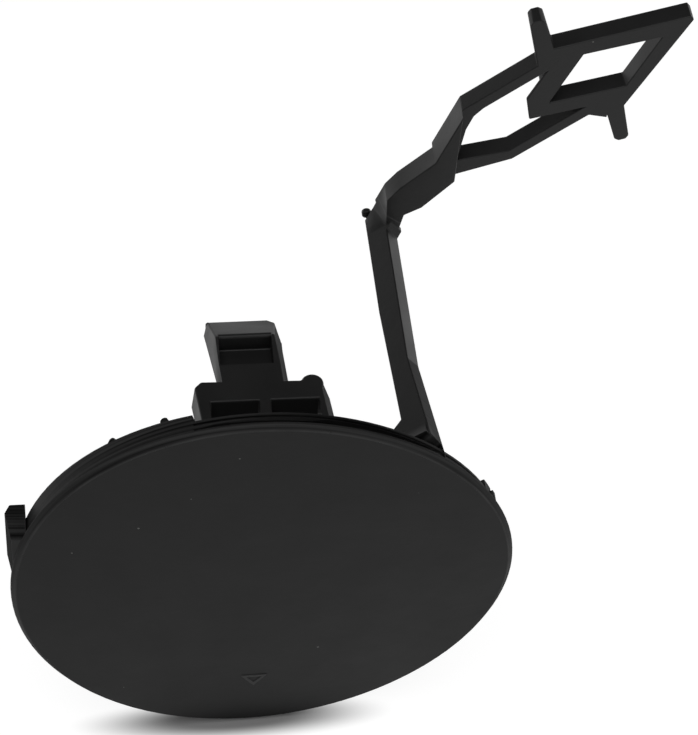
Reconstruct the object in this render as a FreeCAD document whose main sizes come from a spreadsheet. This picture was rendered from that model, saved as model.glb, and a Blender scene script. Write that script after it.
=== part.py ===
# Bumper tow hook cover: a round snap-in cap with a clip at the top and a moulded tether.
# Frame, in millimetres: +X right, +Y back into the bumper, +Z up, origin at the middle of the face's front.
# Sizes along the tether's end are taken along a slanted line, up and to the right, and across it.
import FreeCAD, Part
import math
import os
import Sketcher
from FreeCAD import Placement, Rotation, Vector

NODE = "tow_hook_cover"
ROUND_LIMIT = 0.85  # largest rounding of the face's edge, as a share of the flange
GUSSET_SHARE = 1.2  # width of the prong's gusset, as a share of its length
WEB_POINTS = ((1.0, 0.0), (0.0, 0.2), (-1.2, 0.95))  # the fork's inner bend, in shares of its thickening

# Driving dimensions: name, number in millimetres or degrees, and what it measures.
DIMENSIONS = [
    ("face_radius", 40.7, "outer radius of the face"),
    ("face_edge_round", 0.9, "rounding of the face's front edge"),
    ("bend_radius", 624.0, "radius to which the face is bent to follow the bumper"),
    ("bend_turn", 38.0, "turn of the bend's axis from upright towards +X, in degrees"),
    ("panel", 2.3, "thickness of the face panel"),
    ("flange", 1.1, "depth of the flange round the face"),
    ("wall_step", 1.2, "distance by which the flange stands out of the side wall"),
    ("wall", 2.1, "thickness of the side wall"),
    ("wall_depth", 6.5, "depth of the side wall behind the face's edge"),
    ("relief_depth", 3.95, "depth of the lower stretch of wall, at the clip and the tether"),
    ("relief_start", -30.0, "right end of the lower stretch of wall, in degrees from +X"),
    ("relief_end", 107.5, "left end of the lower stretch of wall, in degrees from +X"),
    ("rim_level", 5.4, "level of the left rim at the middle of the cap, behind the face's middle"),
    ("rim_slope", 3.2, "rise of the left rim towards the left tab, in degrees"),
    ("groove_first", 2.05, "first groove's distance behind the face's edge"),
    ("groove_pitch", 1.0, "distance from groove to groove"),
    ("groove_width", 0.35, "width of each groove"),
    ("groove_deep", 0.3, "depth of each groove"),
    ("mark_width", 4.4, "width of the press mark at its top"),
    ("mark_height", 3.1, "height of the press mark"),
    ("mark_line", 0.45, "width of the press mark's raised line"),
    ("mark_proud", 0.15, "height of the press mark above the face"),
    ("mark_low", 29.0, "distance of the press mark's tip below the middle"),
    ("mark_shift", -0.8, "sideways place of the press mark"),
    ("clip_inset", 3.2, "distance of the clip's outer face inside the top of the face's edge"),
    ("clip_thick", 4.5, "thickness of the clip, from its outer face inwards"),
    ("base_left", -10.1, "left end of the clip's base at the panel"),
    ("base_right", 9.2, "right end of the clip's base at the panel"),
    ("base_flare", 1.1, "widening of the base's left end towards the back"),
    ("base_taper", 1.0, "narrowing of the base's right end towards the back"),
    ("base_back", 12.65, "back edge of the clip's base"),
    ("base_slant", 0.5, "fall of the base's back edge from its left to its right end"),
    ("base_corner", 1.1, "size of the base's cut back left corner"),
    ("base_spread", 0.4, "spread of the base's left side from its outer to its inner face"),
    ("side_spread", 1.7, "spread of the base's and the hook's right side from outer to inner face"),
    ("boss_radius", 1.75, "radius of the round lug at the base's back right corner"),
    ("boss_rise", 0.7, "distance by which the round lug stands back of the base"),
    ("window_left", -9.0, "left side of the left window"),
    ("window_right", 7.8, "right side of the right window"),
    ("window_front", 3.4, "front edge of the windows"),
    ("window_back", 8.5, "back edge of the windows"),
    ("rib_left", -1.4, "left side of the rib between the windows"),
    ("rib_right", 0.2, "right side of the rib between the windows"),
    ("hook_left", -6.7, "left side of the hook's outer face at its root"),
    ("hook_right", 2.4, "right side of the hook's outer face at its root"),
    ("hook_flare", 1.0, "widening of the hook's left side towards its tip"),
    ("hook_taper", 0.8, "narrowing of the hook's right side towards its tip"),
    ("tip_spread", 1.1, "spread of the hook's left side from outer to inner face at its tip"),
    ("hook_back", 26.2, "back end of the hook"),
    ("tip_corner", 2.2, "size of the cut right corner at the hook's tip"),
    ("tip_nick", 0.6, "size of the cut left corner at the hook's tip"),
    ("crest_back", 20.7, "distance of the catch's crest behind the face"),
    ("crest_rise", 1.1, "height of the catch's crest above the clip's outer face"),
    ("ramp_drop", 2.9, "drop of the lead-in ramp from the crest to the tip"),
    ("pocket_front", 15.8, "front edge of the pocket before the catch"),
    ("pocket_floor", 2.3, "depth of the pocket below the clip's outer face"),
    ("cheek", 0.8, "thickness of the cheek at the left of the pocket"),
    ("cheek_right", 0.2, "thickness of the cheek at the right of the pocket"),
    ("tab_inset", 0.35, "distance of the left tab's outer side inside the face's edge"),
    ("tab_lean", 0.7, "outward lean of the left tab's outer side"),
    ("tab_thick", 2.6, "thickness of the left tab"),
    ("tab_back", 9.4, "back end of the left tab"),
    ("tab_corner", 0.8, "size of the cut corner at the left tab's end"),
    ("tab_top", 13.0, "height of the left tab's upper side"),
    ("tab_wide", 11.0, "width of the left tab, downwards"),
    ("pip_width", 1.3, "width of each small pip on the left rim"),
    ("pip_rise", 1.25, "height of each pip above the rim"),
    ("pip_first", 6.9, "place of the first pip, in degrees beyond the left end of the lower stretch"),
    ("pip_second", 20.7, "place of the second pip, in degrees beyond that end"),
    ("high_lug_start", 24.6, "right end of the high lug on the right rim, in degrees from +X"),
    ("high_lug_end", 28.6, "left end of the high lug on the right rim, in degrees from +X"),
    ("high_lug_rise", 1.3, "height of the high lug above the rim"),
    ("high_lug_proud", 0.1, "distance by which the high lug stands out of the wall"),
    ("low_lug_start", 23.8, "right end of the low lug on the right rim, in degrees from +X"),
    ("low_lug_end", 25.3, "left end of the low lug on the right rim, in degrees from +X"),
    ("low_lug_rise", 0.4, "height of the low lug above the rim"),
    ("low_lug_proud", 0.6, "distance by which the low lug stands out of the wall"),
    ("tether_lean", 39.5, "slant of the tether's end above level, in degrees"),
    ("arm_place", 53.2, "place of the arm's near upper corner round the face, in degrees from +X"),
    ("arm_inset", 6.36, "distance of that corner inside the face's edge"),
    ("ring_front", 52.6, "distance of the anchor's front face behind the face's middle"),
    ("anchor_thick", 3.4, "thickness of the anchor, front to back"),
    ("ring_long", 17.2, "half of the ring's long diagonal"),
    ("ring_short", 8.35, "half of the ring's short diagonal"),
    ("ring_skew", 1.05, "shift of the short diagonal's ends along the ring"),
    ("hole_long", 10.6, "half of the long diagonal of the ring's opening"),
    ("hole_short", 5.2, "half of the short diagonal of the ring's opening"),
    ("hole_skew", 0.8, "shift of the ends of the opening's short diagonal along the ring"),
    ("hole_shift", 0.9, "place of the opening's middle along the ring"),
    ("hole_drop", 0.4, "drop of the opening's middle below the ring's"),
    ("ring_reach", 1.2, "length by which the ring's far half is drawn out"),
    ("ring_blunt_up", 5.15, "length taken off the ring's near corner at its upper side"),
    ("ring_blunt_low", 3.05, "length taken off the ring's near corner at its lower side"),
    ("ring_tip", 1.1, "length taken off the ring's far corner"),
    ("ring_ear", 2.5, "length by which the ring's far bars run on past its side corners"),
    ("lip_thick", 0.6, "thickness of the ring's near corner, where it laps over the fork's opening"),
    ("lip_reach", -7.8, "place along the anchor where that thin corner ends at its upper side"),
    ("lip_low", -3.0, "lower side of the hollow behind that corner"),
    ("lip_rib", 0.8, "thickness of the wall between that hollow and the ring's opening"),
    ("fork_half", 7.4, "half of the fork's width"),
    ("fork_shift", 0.25, "shift of the fork's middle line above the anchor's"),
    ("fork_bar", 2.0, "width of the fork's bars"),
    ("fork_bend", -21.2, "place along the anchor where the fork's bars bend"),
    ("fork_root", -30.6, "place along the anchor where the fork leaves the strap"),
    ("fork_crotch", -28.2, "place along the anchor where the fork's bars part"),
    ("crotch_level", -1.2, "place of the fork's crotch above the anchor's middle line"),
    ("fork_web", 2.2, "thickening of the upper bar at the crotch"),
    ("fork_end", -3.0, "place along the anchor where the fork's bars end in the ring"),
    ("prong_turn", -3.4, "place along the anchor of the point that the two prongs are turned about"),
    ("prong_root", 6.0, "start of each prong, from the anchor's middle line"),
    ("prong_reach", 15.7, "reach of each prong from the anchor's middle line"),
    ("prong_shift", -4.8, "place of each prong's line at the anchor's middle line, from that point"),
    ("prong_lean", 22.5, "lean of the prongs from square to the anchor, in degrees"),
    ("prong_width", 3.3, "width of each prong at its root"),
    ("prong_taper", 0.9, "narrowing of each prong to its tip"),
    ("prong_corner", 0.6, "size of the cut corners at each prong's tip"),
    ("prong_gusset", 3.6, "length of the gusset at the near side of the lower prong's root"),
    ("strap_front", 51.0, "front face of the strap"),
    ("strap_thick", 4.0, "thickness of the strap, front to back"),
    ("neck_up", 2.0, "upper side of the strap at the fork"),
    ("neck_low", -3.7, "lower side of the strap at the fork"),
    ("shoulder", -38.2, "place along the anchor of the strap's shoulder"),
    ("shoulder_up", 1.2, "upper side of the strap at its shoulder"),
    ("shoulder_low", -5.1, "lower side of the strap at its shoulder"),
    ("waist", -41.4, "place along the anchor of the strap's waist"),
    ("waist_up", 0.3, "upper side of the strap at its waist"),
    ("waist_low", -4.6, "lower side of the strap at its waist"),
    ("elbow", -46.1, "place along the anchor of the strap's back corner over the arm"),
    ("elbow_up", -2.5, "upper side of the strap at that corner"),
    ("arm_start", -48.9, "near side of the arm along the anchor"),
    ("arm_long", 3.95, "size of the arm along the anchor"),
    ("arm_up", -4.4, "upper side of the arm"),
    ("arm_wide", 3.2, "size of the arm across the anchor"),
    ("nub_radius", 0.8, "radius of the round nub at the elbow"),
    ("nub_groove", 0.8, "width of the groove before the nub"),
    ("nub_deep", 0.5, "depth of that groove"),
    ("elbow_web", 1.0, "size of the web in the corner between the arm and the strap"),
    ("foot_inset", 1.35, "narrowing of the arm's near side towards its foot"),
    ("inset_back", 34.0, "distance behind the face at which that narrowing ends"),
    ("foot_long", 2.4, "lengthening of the arm's far side towards its foot"),
    ("foot_up", 1.9, "rise of the arm's upper side at its foot, out to the wall"),
    ("foot_back", 22.0, "distance behind the face at which the lengthening ends"),
    ("toe_back", 8.0, "distance behind the face at which the rise ends"),
    ("buttress", 1.7, "width of the buttress at the arm's near side"),
    ("buttress_back", 9.8, "distance behind the face at which the buttress starts to run out"),
    ("buttress_end", 11.3, "distance behind the face at which the buttress ends"),
    ("slot_shift", 0.8, "left end of the slot at the foot, in degrees beyond the arm's place"),
    ("slot_long", 4.8, "length of the slot along the rim"),
    ("slot_high", 2.3, "height of the slot at its left end"),
    ("slot_low", 0.8, "height of the slot at its right end"),
    ("slot_deep", 4.5, "depth of the slot, inwards from the wall's outside"),
]

doc = FreeCAD.newDocument("TowHookCover")
sheet = doc.addObject("Spreadsheet::Sheet", "Sizes")
for row, (name, number, meaning) in enumerate(DIMENSIONS, start=1):
    sheet.set(f"A{row}", meaning)
    sheet.set(f"B{row}", str(number))
    sheet.setAlias(f"B{row}", name)
doc.recompute()


class Dim:
    """A size from the sheet, or one worked out from such sizes: its number now, and its expression."""

    def __init__(self, number, text):
        self.number = number
        self.text = text

    @staticmethod
    def of(value):
        return value if isinstance(value, Dim) else Dim(float(value), f"({float(value)})")

    def __add__(self, other):
        other = Dim.of(other)
        return Dim(self.number + other.number, f"({self.text} + {other.text})")

    def __sub__(self, other):
        other = Dim.of(other)
        return Dim(self.number - other.number, f"({self.text} - {other.text})")

    def __mul__(self, other):
        other = Dim.of(other)
        return Dim(self.number * other.number, f"({self.text} * {other.text})")

    def __truediv__(self, other):
        other = Dim.of(other)
        return Dim(self.number / other.number, f"({self.text} / {other.text})")

    def __neg__(self):
        return Dim(-self.number, f"(0 - {self.text})")


ZERO = Dim.of(0)


def size(name):
    return Dim(float(sheet.get(name)), f"Sizes.{name}")


def sine(angle):
    return Dim(math.sin(math.radians(angle.number)), f"sin({angle.text} * 1 deg)")


def cosine(angle):
    return Dim(math.cos(math.radians(angle.number)), f"cos({angle.text} * 1 deg)")


def tangent(angle):
    return Dim(math.tan(math.radians(angle.number)), f"tan({angle.text} * 1 deg)")


def polar(radius, angle):
    return radius * cosine(angle), radius * sine(angle)


def place(item, x, y, z):
    for axis, dim in zip("xyz", (x, y, z)):
        item.setExpression(f"Placement.Base.{axis}", dim.text)


def turn(item, axis, angle):
    item.Placement = Placement(Vector(), Rotation(axis, angle.number))
    item.setExpression("Placement.Rotation.Angle", f"{angle.text} * 1 deg")


# Bodies, sketches and features

def new_sketch(body, name, role, offset=ZERO):
    """A sketch on one of the body's own planes, moved along that plane's normal by offset."""
    sketch = body.newObject("Sketcher::SketchObject", name)
    plane = next(item for item in body.Origin.OriginFeatures if item.Role == role)
    sketch.AttachmentSupport = [(plane, "")]
    sketch.MapMode = "FlatFace"
    sketch.setExpression(".AttachmentOffset.Base.z", offset.text)
    return sketch


def hold(sketch, kind, dim, *places):
    index = sketch.addConstraint(Sketcher.Constraint(kind, *places, dim.number))
    sketch.setExpression(f"Constraints[{index}]", dim.text)


def add_polygon(sketch, points):
    """A closed outline of straight lines, each corner held by its distances from the sketch's origin."""
    first = sketch.GeometryCount
    count = len(points)
    corners = [Vector(x.number, y.number, 0) for x, y in points]
    for i in range(count):
        sketch.addGeometry(Part.LineSegment(corners[i], corners[(i + 1) % count]), False)
    for i, (x, y) in enumerate(points):
        sketch.addConstraint(Sketcher.Constraint("Coincident", first + i, 2, first + (i + 1) % count, 1))
        hold(sketch, "DistanceX", x, -1, 1, first + i, 1)
        hold(sketch, "DistanceY", y, -1, 1, first + i, 1)


def add_rectangle(sketch, left, right, low, high):
    add_polygon(sketch, [(left, low), (right, low), (right, high), (left, high)])


def add_circle(sketch, x, y, radius):
    centre = Vector(x.number, y.number, 0)
    circle = sketch.addGeometry(Part.Circle(centre, Vector(0, 0, 1), radius.number), False)
    hold(sketch, "DistanceX", x, -1, 1, circle, 3)
    hold(sketch, "DistanceY", y, -1, 1, circle, 3)
    hold(sketch, "Radius", radius, circle)


def pad(body, name, sketch, length, backwards=False):
    feature = body.newObject("PartDesign::Pad", name)
    feature.Profile = sketch
    feature.Reversed = backwards
    feature.setExpression("Length", length.text)
    return feature


def cut_through(body, name, sketch):
    feature = body.newObject("PartDesign::Pocket", name)
    feature.Profile = sketch
    feature.Type = "ThroughAll"
    feature.Midplane = True


def loft(body, name, first, second):
    feature = body.newObject("PartDesign::AdditiveLoft", name)
    feature.Profile = first
    feature.Sections = [second]
    feature.Ruled = True


def boolean(kind, name, base, tool):
    result = doc.addObject(f"Part::{kind}", name)
    result.Base = base
    result.Tool = tool
    return result


# Cap: a face panel with a flange and a side wall, cut from bent sheets

def behind(name, depth):
    """The space behind a bent surface that passes depth behind the face's middle."""
    body = doc.addObject("PartDesign::Body", name)
    reach, radius = size("face_radius") * 1.5, size("bend_radius")
    sketch = new_sketch(body, f"{name}_outline", "XY_Plane", -reach)
    half_turn = math.asin(reach.number / radius.number)
    circle = Part.Circle(Vector(0, radius.number + depth.number, 0), Vector(0, 0, 1), radius.number)
    front = -math.pi / 2
    arc = sketch.addGeometry(Part.ArcOfCircle(circle, front - half_turn, front + half_turn), False)
    hold(sketch, "DistanceX", ZERO, -1, 1, arc, 3)
    hold(sketch, "DistanceY", radius + depth, -1, 1, arc, 3)
    hold(sketch, "Radius", radius, arc)
    hold(sketch, "DistanceX", -reach, -1, 1, arc, 1)
    hold(sketch, "DistanceX", reach, -1, 1, arc, 2)
    left, right = sketch.getPoint(arc, 1), sketch.getPoint(arc, 2)
    far_left, far_right = Vector(-reach.number, reach.number, 0), Vector(reach.number, reach.number, 0)
    for ends in ((right, far_right), (far_right, far_left), (far_left, left)):
        sketch.addGeometry(Part.LineSegment(*ends), False)
    for i in range(3):
        sketch.addConstraint(Sketcher.Constraint("Coincident", arc + i, 2, arc + i + 1, 1))
    sketch.addConstraint(Sketcher.Constraint("Coincident", arc + 3, 2, arc, 1))
    for end, across in ((1, reach), (2, -reach)):
        hold(sketch, "DistanceX", across, -1, 1, arc + 2, end)
        hold(sketch, "DistanceY", reach, -1, 1, arc + 2, end)
    pad(body, f"{name}_pad", sketch, reach * 2)
    turn(body, Vector(0, 1, 0), size("bend_turn"))
    return body


def bar(name, radius):
    """A round bar along Y that is longer than the cap is deep, at both ends."""
    rod = doc.addObject("Part::Cylinder", name)
    rod.setExpression("Radius", radius.text)
    rod.setExpression("Height", (size("face_radius") * 2).text)
    rod.Placement = Placement(Vector(), Rotation(Vector(1, 0, 0), -90))
    place(rod, ZERO, -size("face_radius"), ZERO)
    return rod


def slab(name, radius, front, back):
    """A bent disc between two depths behind the face."""
    blank = boolean("Common", f"{name}_blank", bar(f"{name}_bar", radius), behind(f"{name}_front", front))
    return boolean("Cut", name, blank, behind(f"{name}_back", back))


def sector(name, start, end):
    """A wedge of space along Y between two directions, less than half a turn apart."""
    body = doc.addObject("PartDesign::Body", name)
    sketch = new_sketch(body, f"{name}_outline", "XZ_Plane", size("face_radius"))
    reach = size("face_radius") * 3
    ends = [polar(reach, angle) for angle in (start, (start + end) / 2, end)]
    add_polygon(sketch, [(ZERO, ZERO)] + ends)
    pad(body, f"{name}_pad", sketch, reach, backwards=True)
    return body


def rim_at(x):
    """Level of the left rim at a distance x from the middle."""
    return size("rim_level") - x * tangent(size("rim_slope"))


def above_rim():
    """The space behind the left rim, which rises towards the left tab."""
    body = doc.addObject("PartDesign::Body", "above_rim")
    reach = size("face_radius") * 2
    sketch = new_sketch(body, "rim_outline", "XY_Plane", -reach)
    add_polygon(sketch, [(ZERO, rim_at(ZERO)), (ZERO, reach), (-reach, reach), (-reach, rim_at(-reach))])
    pad(body, "rim_pad", sketch, reach * 2)
    return body


def make_cap():
    flange = slab("flange_slab", size("face_radius"), ZERO, size("flange"))
    wall_radius = size("face_radius") - size("wall_step")
    wall = slab("wall_slab", wall_radius, size("flange") / 2, size("wall_depth"))
    wall = boolean("Cut", "wall_sloped", wall, above_rim())
    low_side = sector("low_side", size("relief_start"), size("relief_end"))
    spare = slab("relief_slab", size("face_radius"), size("relief_depth"), size("wall_depth") * 2)
    wall = boolean("Cut", "wall_relieved", wall, boolean("Common", "relief", spare, low_side))
    for i in range(2):
        front = size("groove_first") + size("groove_pitch") * i
        ring = slab(f"groove_slab_{i}", size("face_radius"), front, front + size("groove_width"))
        core = bar(f"groove_core_{i}", wall_radius - size("groove_deep"))
        ring = boolean("Cut", f"groove_ring_{i}", ring, core)
        wall = boolean("Cut", f"wall_grooved_{i}", wall, boolean("Common", f"groove_{i}", ring, low_side))
    for name in ("high_lug", "low_lug"):
        side = sector(f"{name}_side", size(f"{name}_start"), size(f"{name}_end"))
        radius, back = wall_radius + size(f"{name}_proud"), size("relief_depth") + size(f"{name}_rise")
        lug = slab(f"{name}_slab", radius, size("relief_depth") / 2, back)
        wall = boolean("Fuse", f"wall_and_{name}", wall, boolean("Common", name, lug, side))
    solid = boolean("Fuse", "cap_solid", flange, wall)
    core = bar("hollow_bar", wall_radius - size("wall"))
    hollow = boolean("Common", "hollow", core, behind("hollow_front", size("panel")))
    return boolean("Cut", "cap", solid, hollow)


# Press mark: a raised outline of a triangle that points down

def make_mark():
    body = doc.addObject("PartDesign::Body", "press_mark")
    sketch = new_sketch(body, "mark_outline", "XZ_Plane", size("mark_proud") * 2)
    middle, half, line = size("mark_shift"), size("mark_width") / 2, size("mark_line")
    low = -size("mark_low")
    high = low + size("mark_height")
    inner_half = half - line * 2
    add_polygon(sketch, [(middle - half, high), (middle, low), (middle + half, high)])
    inner_high, inner_low = high - line, low + line * 2
    inner_left, inner_right = middle - inner_half, middle + inner_half
    add_polygon(sketch, [(inner_left, inner_high), (middle, inner_low), (inner_right, inner_high)])
    pad(body, "mark_pad", sketch, size("panel"), backwards=True)
    return boolean("Common", "mark_on_face", body, behind("mark_front", -size("mark_proud")))


# Clip: a base with two windows that carries the hook, at a set distance inside the face's edge

CLIP_TOP = size("face_radius") - size("clip_inset")


def base_outline(body, name, height, left_spread, right_spread):
    """The outline of the clip's base at one height."""
    outline = new_sketch(body, name, "XY_Plane", height)
    front, back, corner = size("panel") / 2, size("base_back"), size("base_corner")
    left, right = size("base_left") - left_spread, size("base_right") + right_spread
    back_left, back_right = left - size("base_flare"), right - size("base_taper")
    add_polygon(outline, [(left, front), (right, front), (back_right, back - size("base_slant")),
                          (back_left + corner, back), (back_left, back - corner)])
    return outline


def make_base():
    body = doc.addObject("PartDesign::Body", "clip_base")
    low = CLIP_TOP - size("clip_thick")
    inner = base_outline(body, "base_inner", low, size("base_spread"), size("side_spread"))
    loft(body, "base_block", inner, base_outline(body, "base_outer", CLIP_TOP, ZERO, ZERO))
    boss = new_sketch(body, "boss_outline", "XY_Plane", CLIP_TOP)
    radius = size("boss_radius")
    boss_x = size("base_right") - size("base_taper") / 2 - radius
    add_circle(boss, boss_x, size("base_back") + size("boss_rise") - radius, radius)
    pad(body, "boss_pad", boss, size("clip_thick"), backwards=True)
    windows = new_sketch(body, "window_outlines", "XY_Plane")
    for left_side, right_side in (("window_left", "rib_left"), ("rib_right", "window_right")):
        add_rectangle(windows, size(left_side), size(right_side), size("window_front"), size("window_back"))
    cut_through(body, "windows", windows)
    return body


def hook_section(body, name, back, left, right, left_spread):
    """A cross-section of the hook, square to Y and wider at its inner face."""
    sketch = new_sketch(body, name, "XZ_Plane", -back)
    top = CLIP_TOP + size("crest_rise")
    low = CLIP_TOP - size("clip_thick")
    low_left, low_right = left - left_spread, right + size("side_spread")
    add_polygon(sketch, [(left, top), (right, top), (low_right, low), (low_left, low)])
    return sketch


def make_hook():
    body = doc.addObject("PartDesign::Body", "hook")
    root_back = (size("window_back") + size("base_back")) / 2
    tip_left, tip_right = size("hook_left") - size("hook_flare"), size("hook_right") - size("hook_taper")
    root = hook_section(body, "hook_root", root_back, size("hook_left"), size("hook_right"), ZERO)
    tip = hook_section(body, "hook_tip", size("hook_back"), tip_left, tip_right, size("tip_spread"))
    loft(body, "hook_blade", root, tip)

    face = CLIP_TOP
    crest = face + size("crest_rise")
    above, beyond = crest * 2, size("hook_back") * 2
    ramp_end = crest - size("ramp_drop")
    profile = new_sketch(body, "hook_profile", "YZ_Plane")
    add_polygon(profile, [
        (ZERO, above), (ZERO, face), (size("pocket_front"), face), (size("crest_back"), crest),
        (size("hook_back"), ramp_end), (beyond, ramp_end), (beyond, above)])
    cut_through(body, "hook_top", profile)

    recess = new_sketch(body, "pocket_outline", "XY_Plane", face - size("pocket_floor"))
    recess_left, recess_right = tip_left + size("cheek"), tip_right - size("cheek_right")
    add_rectangle(recess, recess_left, recess_right, size("pocket_front"), size("crest_back"))
    pocket = body.newObject("PartDesign::Pocket", "catch_pocket")
    pocket.Profile = recess
    pocket.Reversed = True
    pocket.setExpression("Length", (size("pocket_floor") + size("crest_rise") * 2).text)

    corners = new_sketch(body, "tip_corners", "XY_Plane")
    corner, nick, end = size("tip_corner"), size("tip_nick"), size("hook_back")
    low_left, low_right = tip_left - size("tip_spread"), tip_right + size("side_spread")
    add_polygon(corners, [(low_left, end - nick), (low_left, beyond), (low_left + nick, end)])
    add_polygon(corners, [(low_right, end - corner), (low_right - corner, end), (low_right, beyond)])
    cut_through(body, "tip_corners_cut", corners)
    return body


# Left tab and the pips on the left rim

def make_tab():
    body = doc.addObject("PartDesign::Body", "left_tab")
    sketch = new_sketch(body, "tab_outline", "XY_Plane", size("tab_top"))
    out = size("tab_inset") - size("face_radius")
    lean, corner = size("tab_lean"), size("tab_corner")
    inner = out + size("tab_thick")
    front, back = ZERO, size("tab_back")
    add_polygon(sketch, [(inner, front), (inner, back), (out - lean + corner, back),
                         (out - lean, back - corner * 2), (out + lean, front)])
    pad(body, "tab_pad", sketch, size("tab_wide"), backwards=True)
    return boolean("Common", "tab_behind_flange", body, behind("tab_front", size("flange")))


def make_pip(name, angle):
    """A short round rod through the rim, with its round side up."""
    radius = size("pip_width") / 2
    outer = size("face_radius") - size("wall_step") - size("wall") / 4
    x, z = polar(outer - size("wall") / 2, angle)
    rod = doc.addObject("Part::Cylinder", name)
    rod.setExpression("Radius", radius.text)
    rod.setExpression("Height", (size("wall") / 2).text)
    turn(rod, Vector(0, 1, 0), Dim.of(90) - angle)
    place(rod, x, rim_at(x) + size("pip_rise") - radius, z)
    return rod


# Tether: an arm from the cap's wall, a strap across its end, and a forked anchor with a ring

def add_fork(body):
    """The two bars from the strap to the ring."""
    root, bend, end = size("fork_root"), size("fork_bend"), size("fork_end")
    up, low = size("fork_shift") + size("fork_half"), size("fork_shift") - size("fork_half")
    neck_up, neck_low = size("neck_up"), size("neck_low")
    fork = new_sketch(body, "fork_outline", "XZ_Plane")
    add_polygon(fork, [(root, neck_low), (bend, low), (end, low), (end, up), (bend, up), (root, neck_up)])
    pad(body, "fork_pad", fork, size("anchor_thick"), backwards=True)
    inner_up, inner_low = up - size("fork_bar"), low + size("fork_bar")
    inner_bend = bend + size("fork_bar") / 3
    crotch, level = size("fork_crotch"), size("crotch_level")
    loop = new_sketch(body, "fork_opening", "XZ_Plane")
    thick = size("fork_web")
    web = [(inner_bend + thick * along, inner_up - thick * down) for along, down in WEB_POINTS]
    add_polygon(loop, [(crotch, level), (inner_bend, inner_low), (ZERO, inner_low), (ZERO, inner_up)] + web)
    cut_through(body, "fork_loop", loop)


def add_ring(body):
    """The ring, a skewed rhombus whose far bars run on past its side corners."""
    long, short, skew, ear = size("ring_long"), size("ring_short"), size("ring_skew"), size("ring_ear")
    far, tip = long + size("ring_reach"), size("ring_tip")
    near_up, near_low = size("ring_blunt_up"), size("ring_blunt_low")
    near_up_slope, near_low_slope = short / (long - skew), short / (long + skew)
    far_up_slope, far_low_slope = short / (far + skew), short / (far - skew)
    ring = new_sketch(body, "ring_outline", "XZ_Plane")
    add_polygon(ring, [
        (near_low - long, -near_low * near_low_slope),
        (skew - ear * 2, -(long + skew - ear * 2) * near_low_slope),
        (skew - ear, -(far - skew + ear) * far_low_slope),
        (far - tip, -tip * far_low_slope),
        (far - tip, tip * far_up_slope),
        (-skew - ear, (far + skew + ear) * far_up_slope),
        (-skew - ear * 2, (long - skew - ear * 2) * near_up_slope),
        (near_up - long, near_up * near_up_slope)])
    pad(body, "ring_pad", ring, size("anchor_thick"), backwards=True)
    hole = new_sketch(body, "ring_opening", "XZ_Plane")
    middle, level, hole_skew = size("hole_shift"), -size("hole_drop"), size("hole_skew")
    hole_long, hole_short = size("hole_long"), size("hole_short")
    add_polygon(hole, [(middle - hole_long, level), (middle + hole_skew, level - hole_short),
                       (middle + hole_long, level), (middle - hole_skew, level + hole_short)])
    cut_through(body, "ring_hole", hole)

    lip = new_sketch(body, "lip_outline", "XZ_Plane", -size("lip_thick"))
    up = size("fork_shift") + size("fork_half") - size("fork_bar")
    rib = middle - hole_long - size("lip_rib")
    add_polygon(lip, [(-long, size("lip_low")), (-long, up), (size("lip_reach"), up), (rib, level)])
    hollow = body.newObject("PartDesign::Pocket", "lip_hollow")
    hollow.Profile = lip
    hollow.setExpression("Length", size("anchor_thick").text)


def add_prongs(body):
    """The two prongs, one turned half round from the other, and the lower one's gusset."""
    prongs = new_sketch(body, "prong_outlines", "XZ_Plane")
    slant = tangent(size("prong_lean"))
    start, reach, corner = size("prong_root"), size("prong_reach"), size("prong_corner")
    foot, top = size("prong_shift") + start * slant, size("prong_shift") + reach * slant
    across, along = cosine(size("prong_lean")), sine(size("prong_lean"))
    half = size("prong_width") / across / 2
    tip = (size("prong_width") - size("prong_taper")) / 2

    def tip_point(side, back):
        """A point at the tip, by its distance from the prong's middle line and from its end."""
        return top + side * across - back * along, reach - side * along - back * across

    outline = [
        (foot - half, start), (foot + half, start), tip_point(tip, corner), tip_point(tip - corner, ZERO),
        tip_point(corner - tip, ZERO), tip_point(-tip, corner)]
    for sign in (1, -1):
        add_polygon(prongs, [(size("prong_turn") + u * sign, v * sign) for u, v in outline])
    pad(body, "prong_pad", prongs, size("anchor_thick"), backwards=True)
    web = new_sketch(body, "gusset_outline", "XZ_Plane")
    gusset = size("prong_gusset")
    root = size("prong_turn") - foot - half
    add_polygon(web, [(root - gusset * GUSSET_SHARE, -start), (root - gusset * slant, -start - gusset),
                      (root + half, -start)])
    pad(body, "gusset_pad", web, size("anchor_thick"), backwards=True)


def strap_section(body, name, back, elbow, elbow_up):
    """The strap's outline at one depth, round from the arm's near side."""
    outline = new_sketch(body, name, "XZ_Plane", size("ring_front") - back)
    start, arm_up = size("arm_start"), size("arm_up")
    arm_low = arm_up - size("arm_wide")
    add_polygon(outline, [
        (start, arm_up), (start, arm_low), (start + size("arm_long"), arm_low),
        (size("waist"), size("waist_low")), (size("shoulder"), size("shoulder_low")),
        (size("fork_root"), size("neck_low")),
        (size("fork_bend"), size("fork_shift") + size("fork_half")), (size("fork_root"), size("neck_up")),
        (size("shoulder"), size("shoulder_up")), (size("waist"), size("waist_up")), (elbow, elbow_up)])
    return outline


def add_strap(body):
    """The plate from the arm's end to the fork, cut off on a slant a little ahead of the fork's front."""
    front, back = size("strap_front"), size("strap_front") + size("strap_thick")
    arm_end = size("arm_start") + size("arm_long")
    outline = strap_section(body, "strap_front_outline", front, arm_end, size("arm_up"))
    back_outline = strap_section(body, "strap_back_outline", back, size("elbow"), size("elbow_up"))
    loft(body, "strap_block", outline, back_outline)


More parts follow.
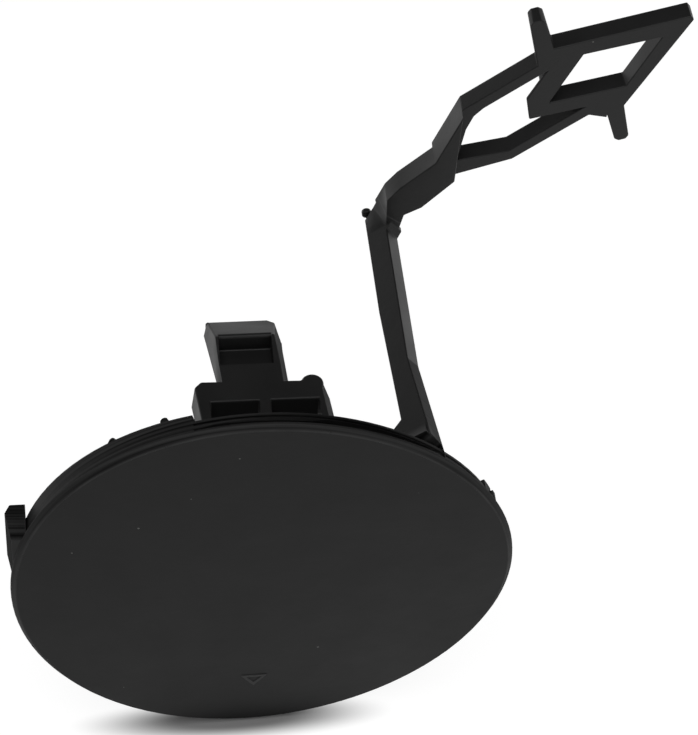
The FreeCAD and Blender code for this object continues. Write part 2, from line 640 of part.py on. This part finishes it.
def arm_section(body, name, back, inset, longer, rise):
    """A cross-section of the arm, square to Y."""
    section = new_sketch(body, name, "XZ_Plane", size("ring_front") - back)
    start, up = size("arm_start"), size("arm_up")
    add_rectangle(section, start + inset, start + size("arm_long") + longer, up - size("arm_wide"), up + rise)
    return section


def add_arm(body):
    """The square arm, with a foot that spreads to meet the side wall."""
    front, end = size("panel") / 2, size("ring_front") + size("anchor_thick")
    narrow, knee = size("inset_back"), size("foot_back")
    straight = arm_section(body, "arm_outline", narrow, ZERO, ZERO, ZERO)
    pad(body, "arm_pad", straight, end - narrow, backwards=True)
    inset = size("foot_inset") * (narrow - knee) / (narrow - front)
    shin = arm_section(body, "shin_root", knee, inset, ZERO, ZERO)
    loft(body, "shin", shin, arm_section(body, "shin_end", narrow, ZERO, ZERO, ZERO))
    full, longer = size("foot_inset"), size("foot_long")
    heel = arm_section(body, "heel_root", front, full, longer, ZERO)
    loft(body, "heel", heel, arm_section(body, "heel_end", knee, inset, ZERO, ZERO))
    toe = arm_section(body, "toe_root", front, full, longer, size("foot_up"))
    loft(body, "toe", toe, arm_section(body, "toe_end", size("toe_back"), full, longer / 2, ZERO))

    side = new_sketch(body, "buttress_outline", "XY_Plane", size("arm_up") - size("arm_wide"))
    near, depth = size("arm_start") + full, size("ring_front")
    outer = size("arm_start") - size("buttress") / 2
    add_polygon(side, [(near, front - depth), (near, size("buttress_end") - depth),
                       (outer, size("buttress_back") - depth), (outer, front - depth)])
    pad(body, "buttress_pad", side, size("arm_wide"))


def foot_slot():
    """The slot between the foot's far side and the rim, lower towards its right end."""
    body = doc.addObject("PartDesign::Body", "foot_slot")
    turn(body, Vector(0, 1, 0), Dim.of(90) - size("arm_place") - size("slot_shift"))
    outline = new_sketch(body, "slot_outline", "XY_Plane", size("face_radius") - size("slot_deep"))
    front, rim, long = size("flange"), size("relief_depth"), size("slot_long")
    back_left, back_right = rim + size("slot_high"), rim + size("slot_low")
    add_polygon(outline, [(ZERO, front), (long, front), (long, back_right), (ZERO, back_left)])
    pad(body, "slot_pad", outline, size("slot_deep") * 2)
    return body


def add_elbow(body):
    """The web in the corner between the arm and the strap, and the nub behind a groove across the arm's end."""
    corner, up, web = size("arm_start") + size("arm_long"), size("arm_up"), size("elbow_web")
    front = size("strap_front") - size("ring_front")
    web_outline = new_sketch(body, "web_outline", "XY_Plane", up - size("arm_wide"))
    add_polygon(web_outline, [
        (corner - web, front - web * 2), (corner, front - web), (corner + web, front),
        (corner + web, front + web), (corner - web, front + web)])
    pad(body, "web_pad", web_outline, size("arm_wide"))
    back = front + size("strap_thick")
    groove = new_sketch(body, "groove_outline", "XY_Plane", up - size("nub_deep"))
    left = size("arm_start") - size("nub_radius")
    add_rectangle(groove, left, corner, back - size("nub_groove") / 2, back + size("nub_groove") / 2)
    cut = body.newObject("PartDesign::Pocket", "nub_groove")
    cut.Profile = groove
    cut.Reversed = True
    cut.setExpression("Length", size("arm_wide").text)
    nub = new_sketch(body, "nub_outline", "XZ_Plane", -back)
    radius = size("nub_radius")
    add_circle(nub, size("arm_start") + radius, up + radius / 2, radius)
    pad(body, "nub_pad", nub, size("anchor_thick") - back, backwards=True)


def make_tether():
    """The tether, drawn round the ring's middle and placed by its arm, a set distance inside the edge."""
    body = doc.addObject("PartDesign::Body", "tether_body")
    lean, along, up = size("tether_lean"), size("arm_start"), size("arm_up")
    corner_x, corner_z = polar(size("face_radius") - size("arm_inset"), size("arm_place"))
    turn(body, Vector(0, -1, 0), lean)
    ring_x = corner_x - along * cosine(lean) + up * sine(lean)
    ring_z = corner_z - along * sine(lean) - up * cosine(lean)
    place(body, ring_x, size("ring_front"), ring_z)
    add_fork(body)
    add_ring(body)
    add_prongs(body)
    add_strap(body)
    add_arm(body)
    add_elbow(body)
    return boolean("Cut", "tether", body, foot_slot())


# Whole cover: everything in one moulding, with the face's front edge rounded last

def is_front_rim(edge):
    """True for the edges that run round the front of the face."""
    radius = size("face_radius").number
    off = max(abs(math.hypot(point.X, point.Z) - radius) for point in edge.Vertexes)
    return edge.Length > radius and off < 0.001


def round_face(moulding):
    rims = [n for n, edge in enumerate(moulding.Shape.Edges, start=1) if is_front_rim(edge)]
    front = min(rims, key=lambda n: moulding.Shape.Edges[n - 1].CenterOfMass.y)
    rounding = min(size("face_edge_round").number, size("flange").number * ROUND_LIMIT)
    rounded = doc.addObject("Part::Fillet", NODE)
    rounded.Base = moulding
    rounded.Edges = [(front, rounding, rounding)]
    return rounded


pips = [make_pip(name, size("relief_end") + size(name)) for name in ("pip_first", "pip_second")]
moulding = doc.addObject("Part::MultiFuse", "moulding")
moulding.Shapes = [make_cap(), make_mark(), make_base(), make_hook(), make_tab(), make_tether()] + pips
doc.recompute()
cover = round_face(moulding)
cover.Label = NODE
doc.recompute()

for item in doc.Objects:
    if "Invalid" in item.State or "Error" in item.State:
        raise RuntimeError(f"{item.Name} failed: {item.State}")
if cover.Shape.isNull() or not cover.Shape.isValid() or len(cover.Shape.Solids) != 1:
    raise RuntimeError(f"{NODE} is not one valid solid")

os.makedirs("parts", exist_ok=True)
cover.Shape.exportStep(f"parts/{NODE}.step")
box = cover.Shape.BoundBox
print(f"{NODE}: volume {cover.Shape.Volume:.0f} mm3, {len(cover.Shape.Faces)} faces")
print(f"x {box.XMin:.2f} {box.XMax:.2f}, y {box.YMin:.2f} {box.YMax:.2f}, z {box.ZMin:.2f} {box.ZMax:.2f}")
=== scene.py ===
# Looks of the bumper tow hook cover: one black moulding that stands on its edge on a white table.
import math

import bmesh
import bpy
from mathutils import Matrix, Vector


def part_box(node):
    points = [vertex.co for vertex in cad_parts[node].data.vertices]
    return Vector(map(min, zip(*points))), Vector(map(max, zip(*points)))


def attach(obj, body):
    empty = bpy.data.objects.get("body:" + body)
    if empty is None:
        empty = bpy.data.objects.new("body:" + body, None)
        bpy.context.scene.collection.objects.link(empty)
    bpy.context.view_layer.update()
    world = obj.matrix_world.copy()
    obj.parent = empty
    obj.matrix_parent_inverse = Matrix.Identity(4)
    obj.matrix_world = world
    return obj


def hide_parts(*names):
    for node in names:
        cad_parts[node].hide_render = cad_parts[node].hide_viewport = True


MM = 0.001
NODE = "tow_hook_cover"

# Sizes of the bent face that the CAD source also has. Lengths are in mm and angles in degrees.
BEND_RADIUS = 624.0
BEND_TURN = 38.0  # turn of the bend's axis from upright
EDGE_ROUND = 0.9  # rounding of the face's front edge

# Where each finish is, in mm.
WALL_RADIUS = 38.6  # the wall's outside and the flange lie beyond this radius
WALL_DEPTH = 13.0  # and in front of this depth
ON_FACE = 0.1  # depth behind the bent front within which a surface belongs to the face
MARK_BOX = ((-4, 3), (-1, 3), (-31, -24))  # low and high x, y and z round the raised mark
MARK_FOOT = 0.02  # how far in front of the face the mark begins

# The slope that takes the place of the face's rounded edge: share of the rounding, inset and depth in mm.
EDGE_PROFILE = [(0.0, 0.90, 0.0), (0.34, 0.78, 0.03), (0.67, 0.40, 0.45), (1.0, 0.0, 0.9)]
EDGE_INSETS = (-0.05, EDGE_ROUND - 0.01)  # a corner of the mesh between these is on the rounding
EDGE_DEPTHS = (-0.05, EDGE_ROUND + 0.02)

# Radius in mm to which sharp edges are eased, in boxes of x, y and z in mm. The first box that fits counts.
EASINGS = [
    (0.04, *MARK_BOX),
    (0.0, (38, 42), (-1, 3), (-4, 4)),  # the seam at the face's right end, where easing would leave a spike
    (0.05, (-18, -14), (6.5, 8), (33, 37)),  # the pip nearest the clip
    (0.9, (-6.5, 1.2), (20.2, 21.2), (37.5, 39.5)),  # crest between the hook's pocket and its ramp
    (0.06, (0.9, 1.75), (15, 27), (33, 40)),  # right edge of the hook
    (0.06, (-7.2, 0.9), (14, 20.2), (34, 40)),  # the hook's pocket
    (0.28, (-12, 0.9), (12, 27), (30, 40)),  # the rest of the hook
    (0.08, (-60, 60), (-1, 7.5), (-60, 60)),  # face, flange and the front of the wall
    (0.35, (-14, 12), (4, 16), (30, 38)),  # the clip's base
    (0.2, (-60, 120), (-1, 80), (-60, 120)),  # everything else
]
SHARP_FROM = 28  # an edge that turns by more than this, in degrees, is sharp
FLAT_WITHIN = 0.2  # neighbours that turn by less than this, in degrees, are made one flat face

# Painted highlight along the face's edge, dust and unevenness that all the finishes share, in mm.
PAINTED_HIGHLIGHT_INSET = 0.8  # place of the painted highlight line inside the face's outer edge
PAINTED_HIGHLIGHT_WIDTH = 0.22  # half of the line's width
PAINTED_HIGHLIGHT_PATCHES = 6.0  # length of the stretches where the painted highlight is stronger or weaker
PAINTED_HIGHLIGHT_TONE = "#3c3c3c"
DUST_SPACING = 5.0
DUST_SIZE = 0.4
DUST_TONE = "#5c5c5a"
CLOUD_SIZE = 9.0  # clouds in the tone and the gloss
FLOW_SIZE = 3.0  # soft waves that the melt leaves in the skin, and their height
FLOW_HEIGHT = 0.1
POLYPROPYLENE_IOR = 1.49
NOISE_LOW = 0.3  # nearly all of a noise's values lie between these
NOISE_HIGH = 0.7

# The table and the room.
SHADOW_REACH_X = 30 * MM  # half of the length and of the width of the patch of table where the added light fades out, a painted shadow round the real one
SHADOW_REACH_Y = 5 * MM
SHADOW_SHIFT_X = -4 * MM  # where the patch lies from the point under the face's middle
SHADOW_SHIFT_Y = 1 * MM
SHADOW_CORE = 0.3  # share of the patch in which the added light is wholly gone
WHITE_FILL = 0.88  # light added to the table's own, so that it is white to the camera
CEILING = 0.12  # brightness of the room's ceiling; its walls have 1
WALLS_TO = 0.15  # where the walls end and the ceiling begins, as the sine of the angle above level
CEILING_FROM = 0.4

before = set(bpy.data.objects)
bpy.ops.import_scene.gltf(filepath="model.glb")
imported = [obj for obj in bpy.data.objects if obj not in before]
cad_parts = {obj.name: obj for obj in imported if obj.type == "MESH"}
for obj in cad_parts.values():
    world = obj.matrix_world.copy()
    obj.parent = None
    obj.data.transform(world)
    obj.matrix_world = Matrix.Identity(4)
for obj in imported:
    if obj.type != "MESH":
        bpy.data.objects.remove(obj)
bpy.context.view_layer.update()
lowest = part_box(NODE)[0]
face_radius = -lowest[2] / MM


def linear(hex_colour):
    """A colour written as sRGB hex, in Blender's linear values."""
    values = [int(hex_colour[i:i + 2], 16) / 255 for i in (1, 3, 5)]
    return tuple(v / 12.92 if v <= 0.04045 else ((v + 0.055) / 1.055) ** 2.4 for v in values) + (1.0,)


def add_node(tree, kind, inputs=None, **settings):
    """Adds a node with its settings. Its inputs get a value, or a link from another node's output."""
    node = tree.nodes.new(kind)
    for name, value in settings.items():
        setattr(node, name, value)
    for name, value in (inputs or {}).items():
        socket = node.inputs[name]
        if isinstance(value, bpy.types.NodeSocket):
            tree.links.new(value, socket)
        else:
            socket.default_value = value
    return node


def new_tree(name):
    """A new material and its node tree, emptied."""
    material = bpy.data.materials.new(name)
    material.use_nodes = True
    material.node_tree.nodes.clear()
    return material, material.node_tree


def painted_edge_highlight(tree, place):
    """1 along the face's edge and 0 elsewhere: a painted highlight, the paler line where the edge catches
    the light.
    """
    flat = add_node(tree, "ShaderNodeVectorMath", {0: place, 1: (1.0, 0.0, 1.0)}, operation="MULTIPLY")
    radius = add_node(tree, "ShaderNodeVectorMath", {0: flat.outputs["Vector"]}, operation="LENGTH")
    off = add_node(tree, "ShaderNodeMath", {
        0: radius.outputs["Value"], 1: (face_radius - PAINTED_HIGHLIGHT_INSET) * MM}, operation="SUBTRACT")
    away = add_node(tree, "ShaderNodeMath", {0: off.outputs["Value"]}, operation="ABSOLUTE")
    line = add_node(tree, "ShaderNodeMapRange", {
        "Value": away.outputs["Value"], "From Min": 0.0, "From Max": PAINTED_HIGHLIGHT_WIDTH * MM,
        "To Min": 1.0, "To Max": 0.0})
    patchy = add_node(tree, "ShaderNodeTexNoise", {
        "Vector": place, "Scale": 1 / (PAINTED_HIGHLIGHT_PATCHES * MM), "Detail": 3.0})
    strength = add_node(tree, "ShaderNodeMapRange", {
        "Value": patchy.outputs["Fac"], "From Min": NOISE_LOW, "From Max": NOISE_HIGH,
        "To Min": 0.45, "To Max": 1.0})
    painted_highlight = add_node(tree, "ShaderNodeMath", {
        0: line.outputs["Result"], 1: strength.outputs["Result"]}, operation="MULTIPLY")
    return painted_highlight.outputs["Value"]


def dust(tree, place):
    """1 in tiny specks of dust, one in each cell of a loose pattern and none wider than the dust's size."""
    cells = add_node(tree, "ShaderNodeTexVoronoi", {"Vector": place, "Scale": 1 / (DUST_SPACING * MM)})
    chance = add_node(tree, "ShaderNodeSeparateXYZ", {"Vector": cells.outputs["Color"]})
    reach = add_node(tree, "ShaderNodeMath", {
        0: chance.outputs["X"], 1: DUST_SIZE / DUST_SPACING / 2}, operation="MULTIPLY")
    speck = add_node(tree, "ShaderNodeMath", {
        0: cells.outputs["Distance"], 1: reach.outputs["Value"]}, operation="LESS_THAN")
    return speck.outputs["Value"]


def finish_plastic(tree, place, tone, roughness, grain_size, grain_height, specular, clouds=None):
    """What all the finishes share: clouded tone, grain, soft waves of the skin, a painted highlight along
    the face's edge, and dust.

    A pattern given as clouds replaces the noise that mixes the two tones and the two roughnesses.
    """
    if clouds is None:
        clouds = add_node(tree, "ShaderNodeTexNoise", {
            "Vector": place, "Scale": 1 / (CLOUD_SIZE * MM), "Detail": 4.0}).outputs["Fac"]
    shade = add_node(tree, "ShaderNodeMix", {
        "Factor": clouds, 6: linear(tone[0]), 7: linear(tone[1])}, data_type="RGBA")
    # A paler line along the face's edge: painted highlight.
    painted_highlight = add_node(tree, "ShaderNodeMix", {
        "Factor": painted_edge_highlight(tree, place), 6: shade.outputs[2], 7: linear(PAINTED_HIGHLIGHT_TONE)}, data_type="RGBA")
    dusty = add_node(tree, "ShaderNodeMix", {
        "Factor": dust(tree, place), 6: painted_highlight.outputs[2], 7: linear(DUST_TONE)}, data_type="RGBA")

    # Seen along the surface the grains hide one another, so the sheen there is duller.
    slope = add_node(tree, "ShaderNodeLayerWeight", {"Blend": 0.5})
    dull = add_node(tree, "ShaderNodeMapRange", {
        "Value": slope.outputs["Facing"], "From Min": 0.75, "From Max": 0.95,
        "To Min": 0.0, "To Max": 0.45}, interpolation_type="SMOOTHSTEP")
    sheen = add_node(tree, "ShaderNodeMapRange", {
        "Value": clouds, "From Min": NOISE_LOW, "From Max": NOISE_HIGH,
        "To Min": roughness[0], "To Max": roughness[1]})
    rough = add_node(tree, "ShaderNodeMath", {
        0: sheen.outputs["Result"], 1: dull.outputs["Result"]}, operation="ADD")

    grain = add_node(tree, "ShaderNodeTexNoise", {
        "Vector": place, "Scale": 1 / (grain_size * MM), "Detail": 3.0})
    flow = add_node(tree, "ShaderNodeTexNoise", {
        "Vector": place, "Scale": 1 / (FLOW_SIZE * MM), "Detail": 2.0})
    fine = add_node(tree, "ShaderNodeBump", {
        "Strength": 0.4, "Distance": grain_height * MM, "Height": grain.outputs["Fac"]})
    bump = add_node(tree, "ShaderNodeBump", {
        "Strength": 0.3, "Distance": FLOW_HEIGHT * MM, "Height": flow.outputs["Fac"],
        "Normal": fine.outputs["Normal"]})
    surface = add_node(tree, "ShaderNodeBsdfPrincipled", {
        "Base Color": dusty.outputs[2], "Roughness": rough.outputs["Value"],
        "Normal": bump.outputs["Normal"], "IOR": POLYPROPYLENE_IOR, "Specular IOR Level": specular})
    add_node(tree, "ShaderNodeOutputMaterial", {"Surface": surface.outputs["BSDF"]})


def grained_plastic():
    """Polypropylene off a finely grained mould, which leaves the face an even, dull black."""
    material, tree = new_tree("grained_polypropylene")
    place = add_node(tree, "ShaderNodeTexCoord").outputs["Object"]
    # The grain is about 0.1 mm. It is drawn three times as coarse, so that it shows at this size.
    finish_plastic(
        tree, place, tone=("#101010", "#151515"), roughness=(0.5, 0.56),
        grain_size=0.3, grain_height=0.012, specular=0.145)
    return material


def moulded_plastic():
    """Polypropylene off a plain machined mould, which leaves the clip and tether glossier and less even."""
    material, tree = new_tree("moulded_polypropylene")
    place = add_node(tree, "ShaderNodeTexCoord").outputs["Object"]
    # Tool marks are finer than 0.2 mm. They are drawn at half a millimetre, so that they show at this size.
    finish_plastic(
        tree, place, tone=("#171717", "#1f1f1f"), roughness=(0.36, 0.5),
        grain_size=0.5, grain_height=0.03, specular=0.21)
    return material


def turned_plastic():
    """Polypropylene off a turned mould ring, which leaves fine lines round the wall and the flange, drawn
    as pale and dark stripes: painted highlight on the fine ridges and painted shade between them.
    """
    material, tree = new_tree("turned_polypropylene")
    place = add_node(tree, "ShaderNodeTexCoord").outputs["Object"]
    parts = add_node(tree, "ShaderNodeSeparateXYZ", {"Vector": place})
    turn = math.radians(BEND_TURN)
    across = add_node(tree, "ShaderNodeVectorMath", {
        0: place, 1: (math.cos(turn), 0.0, -math.sin(turn))}, operation="DOT_PRODUCT")
    square = add_node(tree, "ShaderNodeMath", {0: across.outputs["Value"], 1: 2.0}, operation="POWER")
    bend = add_node(tree, "ShaderNodeMath", {
        0: square.outputs["Value"], 1: 2 * BEND_RADIUS * MM}, operation="DIVIDE")
    depth = add_node(tree, "ShaderNodeMath", {
        0: parts.outputs["Y"], 1: bend.outputs["Value"]}, operation="SUBTRACT")
    followed = add_node(tree, "ShaderNodeCombineXYZ", {
        "X": parts.outputs["X"], "Y": depth.outputs["Value"], "Z": parts.outputs["Z"]})
    # Turning lines are about 0.1 mm apart. They are drawn some four times as coarse, as pale and dark
    # stripes of painted highlight and shade, and run on for 40 mm.
    spacing, run = 0.45 * MM, 40 * MM
    stretched = add_node(tree, "ShaderNodeMapping", {
        "Vector": followed.outputs["Vector"], "Scale": (1 / run, 1 / spacing, 1 / run)})
    lines = add_node(tree, "ShaderNodeTexNoise", {
        "Vector": stretched.outputs["Vector"], "Scale": 1.0, "Detail": 2.0})
    # Pale and dark stripes along the lines: painted highlight and shade of the fine ridges.
    clear = add_node(tree, "ShaderNodeMapRange", {
        "Value": lines.outputs["Fac"], "From Min": 0.34, "From Max": 0.66})
    finish_plastic(
        tree, place, tone=("#0a0a0a", "#303030"), roughness=(0.5, 0.58),
        grain_size=0.3, grain_height=0.012, specular=0.07, clouds=clear.outputs["Result"])
    return material


def pale_mark_plastic():
    """Polypropylene on the raised mark, drawn paler and duller than the face."""
    material, tree = new_tree("pale_mark_polypropylene")
    place = add_node(tree, "ShaderNodeTexCoord").outputs["Object"]
    finish_plastic(
        tree, place, tone=("#303030", "#484848"), roughness=(0.6, 0.7),
        grain_size=0.3, grain_height=0.02, specular=0.1)
    return material


def background_rays(tree):
    """1 for the rays that show the background: the camera's, and those that a mirror or glass sends on."""
    rays = add_node(tree, "ShaderNodeLightPath")
    mirrored = add_node(tree, "ShaderNodeMath", {
        0: rays.outputs["Is Glossy Ray"], 1: rays.outputs["Is Transmission Ray"]}, operation="MAXIMUM")
    seen = add_node(tree, "ShaderNodeMath", {
        0: rays.outputs["Is Camera Ray"], 1: mirrored.outputs["Value"]}, operation="MAXIMUM")
    return seen.outputs["Value"]


def table_white():
    """A table that is pure white to the camera except for a painted shadow close under the object.

    Its own paint is grey, which throws less light up at the object, and the added light makes it white. In
    a fixed patch under the object the added light fades out, which paints the patch darker, and the
    object's real shadow shows inside it.
    """
    material, tree = new_tree("white_table")
    paint = add_node(tree, "ShaderNodeBsdfDiffuse", {"Color": linear("#8c8c8c")})
    place = add_node(tree, "ShaderNodeTexCoord").outputs["Object"]
    stretched = add_node(tree, "ShaderNodeMapping", {
        "Vector": place,
        "Location": (-SHADOW_SHIFT_X / SHADOW_REACH_X, -SHADOW_SHIFT_Y / SHADOW_REACH_Y, 0.0),
        "Scale": (1 / SHADOW_REACH_X, 1 / SHADOW_REACH_Y, 0.0)})
    distance = add_node(tree, "ShaderNodeVectorMath", {0: stretched.outputs["Vector"]}, operation="LENGTH")
    # The added light fades out towards the patch's middle: painted shadow, with the object's real shadow
    # inside it.
    fade = add_node(tree, "ShaderNodeMapRange", {
        "Value": distance.outputs["Value"], "From Min": SHADOW_CORE, "From Max": 1.0,
        "To Min": 0.0, "To Max": WHITE_FILL}, interpolation_type="SMOOTHSTEP")
    fill = add_node(tree, "ShaderNodeEmission", {"Color": (1, 1, 1, 1), "Strength": fade.outputs["Result"]})
    both = add_node(tree, "ShaderNodeAddShader", {0: paint.outputs["BSDF"], 1: fill.outputs["Emission"]})
    mix = add_node(tree, "ShaderNodeMixShader", {
        0: background_rays(tree), 1: paint.outputs["BSDF"], 2: both.outputs["Shader"]})
    add_node(tree, "ShaderNodeOutputMaterial", {"Surface": mix.outputs["Shader"]})
    return material


def add_table():
    """A wide flat table at the height of the part's lowest point."""
    bpy.ops.mesh.primitive_plane_add(size=6)
    table = bpy.context.object
    table.name = "table"
    table.data.transform(Matrix.Translation((0, 0, lowest[2])))
    table.data.materials.append(table_white())


def add_world():
    """A room with low white walls and a dark ceiling, the same to the camera and to a mirror."""
    world = bpy.data.worlds.new("studio")
    world.use_nodes = True
    tree = world.node_tree
    tree.nodes.clear()
    towards = add_node(tree, "ShaderNodeTexCoord").outputs["Generated"]
    parts = add_node(tree, "ShaderNodeSeparateXYZ", {"Vector": towards})
    height = add_node(tree, "ShaderNodeMapRange", {
        "Value": parts.outputs["Z"], "From Min": WALLS_TO, "From Max": CEILING_FROM,
        "To Min": 1.0, "To Max": CEILING}, interpolation_type="SMOOTHSTEP")
    room = add_node(tree, "ShaderNodeBackground", {
        "Color": (1, 1, 1, 1), "Strength": height.outputs["Result"]})
    add_node(tree, "ShaderNodeOutputWorld", {"Surface": room.outputs["Background"]})
    bpy.context.scene.world = world


def add_lamp(name, place, size, power):
    """A soft square lamp that faces the middle of the face. Lengths are in metres and power in watts."""
    data = bpy.data.lights.new(name, "AREA")
    data.size = size
    data.energy = power
    lamp = bpy.data.objects.new(name, data)
    lamp.location = place
    lamp.rotation_euler = (-Vector(place)).to_track_quat("-Z", "Y").to_euler()
    bpy.context.scene.collection.objects.link(lamp)


def add_camera():
    """The photograph's view: from high in front, a little left of the middle and turned clockwise."""
    place = Vector((-32.8, -231.2, 332.0)) * MM
    forward = Vector((0.11837, 0.63569, -0.76281)).normalized()
    roll = math.radians(5.66)
    data = bpy.data.cameras.new("photo_view")
    data.sensor_fit = "VERTICAL"
    data.sensor_height = 36
    data.lens = 122.45
    data.clip_start = 0.01
    camera = bpy.data.objects.new("photo_view", data)
    level = forward.to_track_quat("-Z", "Y").to_matrix()
    camera.matrix_world = Matrix.Translation(place) @ (level @ Matrix.Rotation(roll, 3, "Z")).to_4x4()
    bpy.context.scene.collection.objects.link(camera)
    bpy.context.scene.camera = camera


def inside(box, place):
    """Whether a place lies between the box's low and high values on each axis."""
    return all(low <= value <= high for value, (low, high) in zip(place, box))


def bent_depth(x, z):
    """How far the bent face's front lies behind its middle, in mm."""
    turn = math.radians(BEND_TURN)
    across = x * math.cos(turn) - z * math.sin(turn)
    return BEND_RADIUS - math.sqrt(BEND_RADIUS ** 2 - across ** 2)


def sharpen_face_edge(shape):
    """Turns the rounding along the face's front edge into a short slope with a crisp inner line."""
    for vert in shape.verts:
        x, y, z = vert.co / MM
        radius = math.hypot(x, z)
        inset, depth = face_radius - radius, y - bent_depth(x, z)
        if not inside((EDGE_INSETS, EDGE_DEPTHS), (inset, depth)):
            continue
        share = math.atan2(EDGE_ROUND - inset, EDGE_ROUND - depth) / (math.pi / 2)
        for low, high in zip(EDGE_PROFILE, EDGE_PROFILE[1:]):
            if low[0] <= share <= high[0]:
                part = (share - low[0]) / (high[0] - low[0])
                new_radius = face_radius - low[1] - part * (high[1] - low[1])
                new_x, new_z = x * new_radius / radius, z * new_radius / radius
                new_depth = low[2] + part * (high[2] - low[2])
                vert.co = Vector((new_x, bent_depth(new_x, new_z) + new_depth, new_z)) * MM


def easing(edge):
    """The radius in mm to which an edge is eased, from where its middle lies."""
    middle = (edge.verts[0].co + edge.verts[1].co) / 2 / MM
    for radius, *box in EASINGS:
        if inside(box, middle):
            return radius
    return 0.0


def soft_edged_cover():
    """The CAD solid's mesh with its sharp edges eased, as on a moulding, so that they catch the light."""
    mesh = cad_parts[NODE].data.copy()
    mesh.name = "eased_cover"
    shape = bmesh.new()
    shape.from_mesh(mesh)
    bmesh.ops.remove_doubles(shape, verts=shape.verts, dist=1e-6)
    sharpen_face_edge(shape)
    bmesh.ops.dissolve_limit(
        shape, angle_limit=math.radians(FLAT_WITHIN), verts=shape.verts, edges=shape.edges)
    weights = shape.edges.layers.float.new("bevel_weight_edge")
    widest = max(radius for radius, *box in EASINGS)
    for edge in shape.edges:
        if len(edge.link_faces) == 2 and edge.calc_face_angle() > math.radians(SHARP_FROM):
            edge[weights] = easing(edge) / widest
    finishes = [moulded_plastic(), grained_plastic(), pale_mark_plastic(), turned_plastic()]
    moulded, grained, pale_mark, turned = range(len(finishes))
    for face in shape.faces:
        face.smooth = True
        x, y, z = face.calc_center_median() / MM
        depth = y - bent_depth(x, z)
        if y < WALL_DEPTH and math.hypot(x, z) > WALL_RADIUS:
            face.material_index = turned
        elif inside(MARK_BOX, (x, y, z)) and depth < -MARK_FOOT:
            face.material_index = pale_mark
        elif depth < ON_FACE:
            face.material_index = grained
        else:
            face.material_index = moulded
    mesh.materials.clear()
    for material in finishes:
        mesh.materials.append(material)
    shape.to_mesh(mesh)
    shape.free()
    piece = bpy.data.objects.new("eased_cover", mesh)
    bpy.context.scene.collection.objects.link(piece)
    bevel = piece.modifiers.new("eased_edges", "BEVEL")
    bevel.width = widest * MM
    bevel.segments = 3
    bevel.limit_method = "WEIGHT"
    bevel.use_clamp_overlap = False
    normals = piece.modifiers.new("flat_faces_first", "WEIGHTED_NORMAL")
    normals.keep_sharp = True
    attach(piece, "root")
    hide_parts(NODE)


soft_edged_cover()
add_table()
add_world()
add_lamp("top_softbox", place=(-0.1, -0.35, 1.1), size=0.8, power=6)
add_lamp("front_softbox", place=(0.5, -1.1, 0.3), size=0.4, power=3)
add_camera()
bpy.context.scene.view_settings.view_transform = "Standard"
